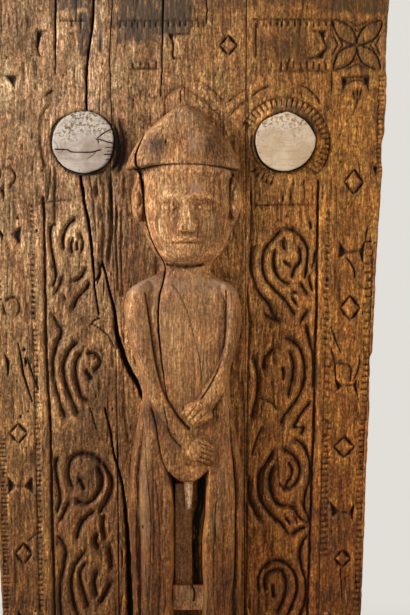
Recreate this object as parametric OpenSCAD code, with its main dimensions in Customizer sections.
// Carved tomb door: three pegged boards with a figure, two pale discs and a pivot at each corner of one side.
// Millimetres. The origin is on the pivot axis at the underside of the sill block, +Z up, the carved face towards -Y.

/* [Leaf] */
// Height of the leaf
leaf_h = 1070; // [1040:5:1200]
// Width across the top edge
leaf_top_w = 584; // [560:2:640]
// Width across the bottom edge
leaf_bottom_w = 486; // [470:2:540]
// Thickness of the boards
leaf_t = 45; // [42:1:60]
// Left seam at the top edge, left of the centre line
left_seam_top = 96; // [92:1:104]
// Left seam at the bottom edge, left of the centre line
left_seam_bottom = 84; // [80:1:92]
// Right seam at the top edge, right of the centre line
right_seam_top = 92; // [90:1:96]
// Right seam at the bottom edge, right of the centre line
right_seam_bottom = 88; // [86:1:92]

/* [Pivot] */
// Pivot axis in from the bottom corner
pivot_inset = 26; // [24:1:40]
// Radius of a pintle where it turns
pintle_r = 18; // [15:0.5:19]
// Length of a pintle inside its socket
pintle_len = 45; // [35:1:50]
// Radius of the tang that is driven into the leaf
tang_r = 13; // [10:0.5:14]
// Length of that tang
tang_len = 60; // [40:1:80]
// Running clearance of a pintle in its socket, on the radius
pivot_gap = 0.05; // [0.03:0.01:0.1]
// Clearance between a pintle's end and the bottom of its socket
end_gap = 0.25; // [0.1:0.05:0.4]
// Clearance between the leaf and the blocks above and below it
leaf_gap = 4; // [3:0.5:6]

/* [Socket blocks] */
// Length of a block along the wall
block_w = 150; // [146:2:180]
// Depth of a block through the wall
block_d = 110; // [90:2:130]
// Height of a block
block_h = 60; // [56:1:80]
// Chamfer on the upright corners of a block
block_chamfer = 8; // [4:1:12]
// Radius of the peg holes that fasten a block
block_peg_r = 6; // [4:0.5:7]
// Distance between those two peg holes
block_peg_pitch = 100; // [90:1:110]

/* [Battens] */
// Width of a batten up the leaf
batten_w = 50; // [40:1:60]
// Thickness of a batten
batten_t = 24; // [18:1:30]
// Depth that a batten is let into the boards
batten_sink = 8; // [5:1:10]
// Distance from a batten's end to the edge of the leaf
batten_end = 22; // [16:1:40]
// Height of the lower batten's middle above the bottom edge
lower_batten_h = 190; // [170:5:210]
// Height of the upper batten's middle above the bottom edge
upper_batten_h = 900; // [885:5:915]
// Clearance round a batten in its housing
batten_gap = 0.3; // [0.1:0.1:0.5]
// Pegs through each batten
batten_pegs = 6; // [4:2:8]
// Distance from a batten's end to its first peg
batten_peg_end = 25; // [15:1:35]
// Radius of a batten peg
batten_peg_r = 5; // [4:0.5:6]
// Depth of a batten peg in the boards
batten_peg_sink = 20; // [14:1:22]
// Height that a batten peg's head stands proud
batten_peg_proud = 3; // [1:0.5:5]

/* [Dowels] */
// Radius of a seam dowel
seam_dowel_r = 6; // [5:0.5:7]
// Length of a seam dowel
seam_dowel_len = 76; // [60:2:84]
// Radius of a dowel behind the figure
fig_dowel_r = 6; // [5:0.5:7]
// Length of a dowel behind the figure inside the board
fig_dowel_sink = 20; // [12:1:24]
// Length of that dowel inside the figure
fig_dowel_hold = 18; // [12:1:20]
// Clearance of every dowel, peg and tang in its hole, on the radius
peg_gap = 0.05; // [0.03:0.01:0.1]
// Clearance at the blind end of such a hole
peg_end_gap = 0.2; // [0.1:0.1:0.5]

/* [Discs] */
// Radius of the left disc
left_disc_r = 43.5; // [41:0.5:45]
// Radius of the right disc
right_disc_r = 42.5; // [40:0.5:45]
// Thickness of a disc
disc_t = 22; // [18:1:26]
// Height that a disc stands proud of the boards
disc_proud = 14; // [10:1:16]
// Chamfer round a disc's face
disc_chamfer = 1.6; // [0.5:0.1:3]
// Thickness of the dark bed round and behind a disc
bed_t = 2; // [1.5:0.1:3]
// Left disc's centre, left of the centre line
left_disc_u = 136; // [134:1:140]
// Right disc's centre, right of the centre line
right_disc_u = 146; // [144:1:150]
// Height of the discs' centres above the bottom edge
disc_h = 850; // [845:1:856]

/* [Figure] */
// Height of the soles above the bottom edge
sole_h = 140; // [120:2:150]
// Height from the soles to the top of the hat
fig_h = 763; // [740:1:775]
// Width across the shoulders
fig_w = 162; // [150:1:165]
// Distance that the figure stands proud of the boards
fig_proud = 55; // [48:1:60]
// Width of the gap between the legs
leg_gap_w = 44; // [40:1:48]
// Height of that gap above the soles
leg_gap_h = 236; // [225:1:245]
// Radius of the loin peg
loin_peg_r = 6; // [5:0.5:7]
// Length of the loin peg below the body
loin_peg_drop = 38; // [20:1:45]
// Length of the loin peg inside the body
loin_peg_hold = 14; // [10:1:20]
// Width of the slip of wood between the legs
slip_w = 24; // [18:1:30]
// Thickness of that slip
slip_t = 6; // [4:0.5:8]
// Height of the block at the slip's foot
slip_foot_h = 35; // [25:1:45]
// Thickness of that block
slip_foot_t = 14; // [10:1:18]
// Clearance between the slip's block and the legs, on each side
slip_gap = 0.3; // [0.1:0.1:0.5]

/* [Carving] */
// Depth of the long grooves
groove_depth = 5; // [3:0.5:7]
// Width of the long grooves
groove_w = 4; // [3:0.5:5]
// Distance from a disc's rim to the cut ring round it
ring_gap = 8; // [6:0.5:9]
// Depth of the scrolls and other cut lines
line_depth = 3; // [1.5:0.5:4]
// Width of the scrolls' cut lines
line_w = 4; // [3:0.5:5]
// Width of the borders' cut lines
border_line_w = 2.5; // [2:0.5:3.5]
// Distance from the outer groove of a scroll panel to the leaf's edge at the panel's top
stile_w = 89; // [84:1:92]
// Distance from that groove to the leaf's edge at the bottom
stile_bottom_w = 72; // [68:1:76]
// Height of the scroll panels' top above the bottom edge
panel_top_h = 762; // [755:1:770]
// Height of the scroll panels' foot above the bottom edge
panel_foot_h = 95; // [85:1:105]
// Height of the top band's lower line above the bottom edge
band_low_h = 954; // [950:1:960]
// Height of the top band's upper line above the bottom edge
band_high_h = 1024; // [1018:1:1028]
// Distance between two motifs in the stiles
motif_pitch = 92; // [88:1:96]
// Motifs in each stile
motif_count = 9; // [5:1:9]
// Half height of a stile motif
motif_r = 13; // [10:0.5:15]
// Distance from a motif's middle to the edge of the leaf
motif_inset = 43; // [41:1:46]
// Height of the corner rosette's middle above the bottom edge
rosette_h = 988; // [980:1:995]
// Length of a rosette petal
rosette_r = 34; // [28:1:38]

/* [Hidden] */
$fn = 64;

// Places that follow from the sizes above
leaf_u0 = leaf_bottom_w / 2 - pivot_inset;
leaf_z0 = block_h + leaf_gap;
lintel_z0 = leaf_z0 + leaf_h + leaf_gap;
front_y = -leaf_t / 2;
back_y = leaf_t / 2;
bore_depth = pintle_len + end_gap;
over = 10;
seam_dowel_heights = [100, 390, 640, 970];
fig_dowel_places = [[-38, 110], [60, 110], [4, 420], [6, 615]];
gap_mid_u = 11;
left_disc_place = [-left_disc_u, disc_h];
right_disc_place = [right_disc_u, disc_h];

// Half width of the leaf, and where the seams and the panels' outer grooves run, at height h above the bottom edge
function edge(h) = (leaf_bottom_w + (leaf_top_w - leaf_bottom_w) * h / leaf_h) / 2;
function left_seam(h) = -left_seam_bottom - (left_seam_top - left_seam_bottom) * h / leaf_h;
function right_seam(h) = right_seam_bottom + (right_seam_top - right_seam_bottom) * h / leaf_h;
function groove(h) = edge(h) - stile_bottom_w - (stile_w - stile_bottom_w) * h / panel_top_h;
function panel_inner(h) = right_seam(h) + 8;

// A smooth line through hand-set points, with the given number of steps between two of them
function spline(a, b, c, d, t) =
    b + t / 2 * (c - a + t * (2 * a - 5 * b + 4 * c - d + t * (3 * b - 3 * c + d - a)));
function smooth(p, steps) = [
    for (i = [0:len(p) - 2]) for (k = [0:steps - 1])
        spline(p[max(i - 1, 0)], p[i], p[i + 1], p[min(i + 2, len(p) - 1)], k / steps),
    p[len(p) - 1]];

// The outline of a line of width w along points p
function side(p, i) = let (a = p[max(i - 1, 0)], b = p[min(i + 1, len(p) - 1)], d = b - a) [-d.y, d.x] / norm(d);
function ribbon(p, w) = concat(
    [for (i = [0:len(p) - 1]) p[i] + side(p, i) * w / 2],
    [for (i = [len(p) - 1:-1:0]) p[i] - side(p, i) * w / 2]);

// Puts a flat drawing, in distance from the centre line and height above the bottom edge, on the leaf at depth y
module on_leaf(y) { translate([leaf_u0, y, leaf_z0]) rotate([90, 0, 0]) children(); }

// Sinks a flat drawing into the front of the leaf
module sunk(depth) { on_leaf(front_y + depth) linear_extrude(depth + over) children(); }
module cut_line(p, w) { polygon(ribbon(p, w)); }

// A hole or dowel through the leaf's thickness, from depth y towards the front
module front_pin(place, y, r, len) { on_leaf(y) translate([place.x, place.y, 0]) cylinder(r = r, h = len); }

// One leaf-shaped coil of a scroll panel, about its eye, opening towards the outer groove
SCROLL = [
    [[-1, 53], [10, 48], [18, 43], [24, 34], [25, 23], [22, 10], [15, 1], [8, -2]],
    [[-9, 52], [-17, 45], [-22, 34], [-29, 24], [-33, 7], [-33, -9], [-27, -22], [-10, -43], [0, -52], [10, -69]],
    [[-10, 29], [-17, 19], [-18, 8], [-16, -2], [-12, -16], [-3, -24], [7, -26], [18, -33]],
    [[-3, 4], [2, -3]],
    [[4, -43], [12, -56]]];
SCROLL_EYES = [[147, 682], [138, 528], [142, 368], [130, 214]];
WAVE_STEP = 19;

module scrolls() {
    pitch = SCROLL_EYES[0].y - SCROLL_EYES[1].y + 3;
    for (k = [0:len(SCROLL_EYES) - 1])
        for (stroke = SCROLL)
            translate(SCROLL_EYES[k])
            mirror([k % 2 == 0 ? 0 : 1, 0])
            cut_line(stroke, line_w);
    cut_line([for (h = [panel_foot_h + 25:WAVE_STEP:panel_top_h - 20])
        [groove(h) - groove_w / 2 - 6.5 + 2.5 * cos(360 * (h - SCROLL_EYES[0].y - 23) / pitch), h]], line_w);
}

// One half of the border carving, drawn for the right board
module panel_grooves() {
    cut_line([[groove(panel_foot_h), panel_foot_h], [groove(panel_top_h), panel_top_h]], groove_w);
}
module panel_borders() {
    cut_line([[panel_inner(panel_foot_h), panel_foot_h], [panel_inner(panel_top_h), panel_top_h]], border_line_w);
    cut_line([[panel_inner(panel_top_h) + 3, panel_top_h], [groove(panel_top_h) - 4, panel_top_h]], border_line_w);
    cut_line([[panel_inner(panel_foot_h) + 3, panel_foot_h], [groove(panel_foot_h) - 4, panel_foot_h]], border_line_w);
}
module stile_motifs() {
    for (k = [0:motif_count - 1]) {
        h = panel_top_h + 32 - k * motif_pitch;
        u = edge(h) - motif_inset;
        translate([u, h])
        if (k % 2 == 0) difference() {
            polygon([[0, motif_r], [motif_r * 0.8, 0], [0, -motif_r], [-motif_r * 0.8, 0]]);
            polygon([[0, motif_r * 0.55], [motif_r * 0.4, 0], [0, -motif_r * 0.55], [-motif_r * 0.4, 0]]);
        } else polygon([[-motif_r, motif_r], [motif_r, motif_r], [3, 0], [motif_r, -motif_r], [-motif_r, -motif_r], [-3, 0]]);
    }
}
module band_lines(from, to) {
    cut_line([[from, band_low_h], [to, band_low_h]], border_line_w);
    cut_line([[from, band_high_h], [to, band_high_h]], border_line_w);
}

// Four pointed petals in the corner of the top band
module rosette(r) {
    for (k = [0:3])
        rotate(45 + 90 * k)
        cut_line(smooth([[6, 3], [r * 0.45, 9], [r * 0.8, 7], [r, 0], [r * 0.8, -7], [r * 0.45, -9], [6, -3]], 2), 2);
}
module ring(place, r, w) { translate(place) difference() { circle(r = r + w / 2); circle(r = r - w / 2); } }

// A board is a slice of the leaf's outline between two lines
module board(left_low, left_high, right_low, right_high) {
    on_leaf(back_y)
        linear_extrude(leaf_t)
        polygon([[left_low, 0], [right_low, 0], [right_high, leaf_h], [left_high, leaf_h]]);
}
module disc_socket(place, r) { front_pin(place, front_y + disc_t - disc_proud + bed_t, r + bed_t, disc_t + over); }
module seam_dowel(u, h, r, len) {
    translate([leaf_u0 + u, 0, leaf_z0 + h]) rotate([0, 90, 0]) cylinder(r = r, h = len, center = true);
}
module left_dowel_row(r, len) { for (h = seam_dowel_heights) seam_dowel(left_seam(h), h, r, len); }
module right_dowel_row(r, len) { for (h = seam_dowel_heights) seam_dowel(right_seam(h), h, r, len); }
module left_dowel_holes() { left_dowel_row(seam_dowel_r + peg_gap, seam_dowel_len + 2 * peg_end_gap); }
module right_dowel_holes() { right_dowel_row(seam_dowel_r + peg_gap, seam_dowel_len + 2 * peg_end_gap); }

// A batten lies across the back with its ends square, and gap widens it for its housing
function batten_half(h) = edge(h - batten_w / 2) - batten_end;
module batten_bar(h, gap) {
    on_leaf(back_y + batten_t - batten_sink)
        linear_extrude(batten_t)
        translate([-batten_half(h) - gap, h - batten_w / 2 - gap])
        square([2 * batten_half(h) + 2 * gap, batten_w + 2 * gap]);
}
module batten_peg_row(h, r, extra) {
    pitch = 2 * (batten_half(h) - batten_peg_end) / (batten_pegs - 1);
    for (k = [0:batten_pegs - 1])
        front_pin([batten_peg_end - batten_half(h) + k * pitch, h], back_y + batten_t - batten_sink + batten_peg_proud,
                  r, batten_peg_proud + batten_t + batten_peg_sink + extra);
}
module batten_peg_holes(h) { batten_peg_row(h, batten_peg_r + peg_gap, peg_end_gap); }
module batten(h) { difference() { batten_bar(h, 0); batten_peg_holes(h); } }
module batten_housings() {
    batten_bar(upper_batten_h, batten_gap);
    batten_bar(lower_batten_h, batten_gap);
    batten_peg_holes(upper_batten_h);
    batten_peg_holes(lower_batten_h);
}
module fig_dowel_row(r, extra) {
    for (p = fig_dowel_places)
        front_pin([p.x, sole_h + p.y], front_y + fig_dowel_sink + extra, r, fig_dowel_sink + fig_dowel_hold + 2 * extra);
}

// The figure's outline and depth: height above the soles, left edge, right edge, depth at the middle
FIG_REF = [763, 162, 55];
FIG_ROWS = [
    [0, -74, 92, 50], [16, -76, 94, 55], [30, -70, 88, 50], [48, -64, 84, 38], [110, -68, 87, 42], [200, -68, 87, 42],
    [262, -70, 86, 41], [300, -64, 82, 42], [335, -56, 73, 42], [353, -54, 70, 41], [392, -63, 76, 40],
    [434, -75, 84, 40], [462, -80, 84, 40], [500, -78, 82, 37], [511, -70, 74, 34], [521, -52, 60, 31],
    [530, -32, 46, 28], [541, -26, 40, 27], [542, -24, 38, 44], [552, -37, 51, 47], [570, -48, 62, 48],
    [596, -54, 68, 48], [640, -56, 70, 47], [670, -54, 68, 45], [671, -78, 82, 54], [684, -77, 83, 55],
    [699, -70, 76, 54], [723, -52, 58, 48], [745, -28, 35, 38], [757, -12, 19, 30], [763, -1, 9, 22]];
FIG_LEFT = [for (q = FIG_ROWS) [q[0], q[1]]];
FIG_RIGHT = [for (q = FIG_ROWS) [q[0], q[2]]];
FIG_DEPTH = [for (q = FIG_ROWS) [q[0], q[3]]];

// The forearms and the two hands lie on the body as rounded rolls: start, end, radius, depth of the roll's crown
FIG_ROLLS = [
    [[-66, 498], [-66, 434], 15, 42], [[-66, 434], [-46, 372], 14, 44], [[-46, 372], [16, 296], 12, 49],
    [[70, 498], [72, 434], 15, 42], [[72, 434], [62, 392], 14, 44], [[62, 392], [24, 346], 12, 49],
    [[24, 346], [12, 332], 14, 51], [[18, 296], [34, 278], 17, 51]];
NOSE = [[8, 588], [8, 624], 7, 54];
ARM_EDGE = 7;
function seg_dist(p, a, b) = let (d = b - a, t = max(0, min(1, ((p - a) * d) / (d * d)))) norm(p - a - t * d);
function roll(p, q) = let (e = min(seg_dist(p, q[0], q[1]) / q[2], 1)) e >= 1 ? 0 : q[3] - ARM_EDGE + ARM_EDGE * sqrt(1 - e * e);
function body_depth(s, d) = 5 + (d - 5) * pow(1 - pow(abs(s), 3), 0.42);
function fig_point_depth(u, h, s) = max(
    body_depth(s, lookup(h, FIG_DEPTH)),
    max([for (q = FIG_ROLLS) min(roll([u, h], q), body_depth(s, q[3] + 8))]),
    roll([u, h], NOSE));
FIG_COLS = 24;
FIG_STEP = 12;
FIG_LEVELS = [
    for (i = [0:len(FIG_ROWS) - 2])
        let (a = FIG_ROWS[i][0], b = FIG_ROWS[i + 1][0], n = ceil((b - a) / FIG_STEP))
            for (k = [0:n - 1]) a + (b - a) * k / n,
    FIG_REF[0]];
function fig_ring(h) = let (l = lookup(h, FIG_LEFT), r = lookup(h, FIG_RIGHT), m = (l + r) / 2, half = (r - l) / 2) [
    [l, 0, h],
    for (i = [0:FIG_COLS]) let (s = -cos(180 * i / FIG_COLS), u = m + half * s) [u, -fig_point_depth(u, h, s), h],
    [r, 0, h]];
module fig_relief() {
    rings = [for (h = FIG_LEVELS) fig_ring(h)];
    n = len(rings[0]);
    last = len(rings) - 1;
    scale_to = [fig_w / FIG_REF[1], fig_proud / FIG_REF[2], fig_h / FIG_REF[0]];
    points = [for (q = rings) for (p = q) [p.x * scale_to.x, p.y * scale_to.y, p.z * scale_to.z]];
    walls = [for (k = [0:last - 1]) for (i = [0:n - 1]) let (j = (i + 1) % n)
        each [[k * n + i, k * n + j, (k + 1) * n + j], [k * n + i, (k + 1) * n + j, (k + 1) * n + i]]];
    foot = [[for (i = [n - 1:-1:0]) i]];
    top = [[for (i = [0:n - 1]) last * n + i]];
    translate([leaf_u0, front_y, leaf_z0 + sole_h])
    polyhedron(points, [for (f = concat(walls, foot, top)) [for (i = [len(f) - 1:-1:0]) f[i]]], convexity = 6);
}
EAR = [10, 29, 24];
module ear(u) {
    on_leaf(front_y)
        translate([u, sole_h + fig_h * 0.825])
        linear_extrude(EAR[2])
        polygon([for (a = [0:20:340]) [EAR[0] * cos(a), EAR[1] * sin(a)]]);
}
module leg_gap() {
    on_leaf(front_y + over)
        linear_extrude(fig_proud + 2 * over)
        translate([gap_mid_u - leg_gap_w / 2, sole_h - over])
        polygon([[0, 0], [leg_gap_w, 0], [leg_gap_w, leg_gap_h + over - 8], [leg_gap_w - 6, leg_gap_h + over],
                 [6, leg_gap_h + over], [0, leg_gap_h + over - 8]]);
}
loin_peg_y = front_y - slip_t - 6 - loin_peg_r;
module loin_pin(r, up) {
    translate([leaf_u0 + gap_mid_u, loin_peg_y, leaf_z0 + sole_h + leg_gap_h - loin_peg_drop])
    cylinder(r = r, h = loin_peg_drop + up);
}

module left_board() {
    color("peru")
    difference() {
        board(-edge(0), -edge(leaf_h), left_seam(0), left_seam(leaf_h));
        sunk(groove_depth) mirror([1, 0]) panel_grooves();
        sunk(line_depth) mirror([1, 0]) scrolls();
        sunk(line_depth) mirror([1, 0]) panel_borders();
        sunk(line_depth) mirror([1, 0]) stile_motifs();
        sunk(line_depth) band_lines(-edge(band_low_h) + 60, left_seam(band_low_h) - 6);
        sunk(line_depth) ring(left_disc_place, left_disc_r + ring_gap, border_line_w);
        disc_socket(left_disc_place, left_disc_r);
        left_dowel_holes();
        batten_housings();
        tang_hole(leaf_z0);
        mirror_pintle() tang_hole(leaf_z0);
    }
}
module centre_board() {
    color("sienna")
    difference() {
        board(left_seam(0), left_seam(leaf_h), right_seam(0), right_seam(leaf_h));
        sunk(line_depth) cut_line([[-62, 866], [2, 924], [58, 888]], border_line_w);
        sunk(line_depth) cut_line([[20, 938], [62, 906], [84, 924]], border_line_w);
        sunk(line_depth) band_lines(left_seam(band_low_h) + 6, right_seam(band_low_h) - 6);
        disc_socket(left_disc_place, left_disc_r);
        left_dowel_holes();
        right_dowel_holes();
        batten_housings();
        fig_dowel_row(fig_dowel_r + peg_gap, peg_end_gap);
    }
}
module right_board() {
    color("peru")
    difference() {
        board(right_seam(0), right_seam(leaf_h), edge(0), edge(leaf_h));
        sunk(groove_depth) panel_grooves();
        sunk(line_depth) scrolls();
        sunk(line_depth) panel_borders();
        sunk(line_depth) stile_motifs();
        sunk(line_depth) band_lines(right_seam(band_low_h) + 6, edge(band_low_h) - 84);
        sunk(line_depth) translate([edge(rosette_h) - motif_inset, rosette_h]) rosette(rosette_r);
        sunk(line_depth) ring(right_disc_place, right_disc_r + ring_gap, border_line_w);
        disc_socket(right_disc_place, right_disc_r);
        right_dowel_holes();
        batten_housings();
    }
}
module figure() {
    color("sandybrown")
    difference() {
        union() {
            fig_relief();
            ear(-58);
            ear(74);
        }
        leg_gap();
        fig_dowel_row(fig_dowel_r + peg_gap, peg_end_gap);
        loin_pin(loin_peg_r + peg_gap, loin_peg_hold + peg_end_gap);
    }
}
module loin_peg() { color("burlywood") loin_pin(loin_peg_r, loin_peg_hold); }
module leg_gap_slip() {
    slip_top = leg_gap_h - 2;
    foot_low = 58;
    foot_wide = leg_gap_w - 2 * slip_gap;
    color("saddlebrown")
    union() {
        on_leaf(front_y)
            linear_extrude(slip_t)
            translate([gap_mid_u - leg_gap_w / 2 + 3, sole_h + foot_low])
            square([slip_w, slip_top - foot_low]);
        on_leaf(front_y)
            linear_extrude(slip_foot_t)
            translate([gap_mid_u - foot_wide / 2, sole_h + foot_low])
            square([foot_wide, slip_foot_h]);
    }
}

// A disc sits on a thin bed in a round socket that is drilled into the boards
module disc(place, r) {
    seat_y = front_y + disc_t - disc_proud;
    on_leaf(seat_y)
        translate([place.x, place.y, 0])
        rotate_extrude()
        polygon([[0, 0], [r, 0], [r, disc_t - disc_chamfer], [r - disc_chamfer, disc_t], [0, disc_t]]);
}
module disc_bed(place, r) {
    seat_y = front_y + disc_t - disc_proud;
    difference() {
        front_pin(place, seat_y + bed_t, r + bed_t, bed_t + disc_t - disc_proud);
        front_pin(place, seat_y, r, disc_t + over);
    }
}
module left_disc() { color("linen") disc(left_disc_place, left_disc_r); }
module right_disc() { color("antiquewhite") disc(right_disc_place, right_disc_r); }
module left_disc_bed() { color("black") disc_bed(left_disc_place, left_disc_r); }
module right_disc_bed() { color("black") disc_bed(right_disc_place, right_disc_r); }
module left_seam_dowels() { color("tan") left_dowel_row(seam_dowel_r, seam_dowel_len); }
module right_seam_dowels() { color("tan") right_dowel_row(seam_dowel_r, seam_dowel_len); }
module upper_batten() { color("sienna") batten(upper_batten_h); }
module lower_batten() { color("sienna") batten(lower_batten_h); }
module upper_batten_pegs() { color("tan") batten_peg_row(upper_batten_h, batten_peg_r, 0); }
module lower_batten_pegs() { color("tan") batten_peg_row(lower_batten_h, batten_peg_r, 0); }
module figure_dowels() { color("tan") fig_dowel_row(fig_dowel_r, 0); }

// The pintles: a thick round end in the socket block and a thinner tang in the leaf
module pintle() {
    translate([0, 0, block_h - pintle_len])
    rotate_extrude()
    polygon([[0, 0], [pintle_r - 2, 0], [pintle_r, 2], [pintle_r, pintle_len + leaf_gap], [tang_r, pintle_len + leaf_gap],
             [tang_r, pintle_len + leaf_gap + tang_len], [0, pintle_len + leaf_gap + tang_len]]);
}
module tang_hole(z) { translate([0, 0, z - over]) cylinder(r = tang_r + peg_gap, h = tang_len + peg_end_gap + over); }
module mirror_pintle() { translate([0, 0, lintel_z0 + block_h]) mirror([0, 0, 1]) children(); }
module bottom_pintle() { color("dimgray") pintle(); }
module top_pintle() { color("dimgray") mirror_pintle() pintle(); }
module socket_block() {
    c = block_chamfer;
    w = block_w / 2;
    d = block_d / 2;
    difference() {
        linear_extrude(block_h)
            polygon([[-w + c, -d], [w - c, -d], [w, -d + c], [w, d - c], [w - c, d], [-w + c, d], [-w, d - c], [-w, -d + c]]);
        translate([0, 0, block_h - bore_depth]) cylinder(r = pintle_r + pivot_gap, h = bore_depth + over);
        for (side = [-1, 1])
            translate([side * block_peg_pitch / 2, 0, -over])
            cylinder(r = block_peg_r, h = block_h + 2 * over);
    }
}
module sill_block() { color("darkkhaki") socket_block(); }
module lintel_block() { color("darkkhaki") mirror_pintle() socket_block(); }

left_board();
centre_board();
right_board();
figure();
loin_peg();
leg_gap_slip();
left_disc();
right_disc();
left_disc_bed();
right_disc_bed();
left_seam_dowels();
right_seam_dowels();
upper_batten();
lower_batten();
upper_batten_pegs();
lower_batten_pegs();
figure_dowels();
top_pintle();
bottom_pintle();
sill_block();
lintel_block();
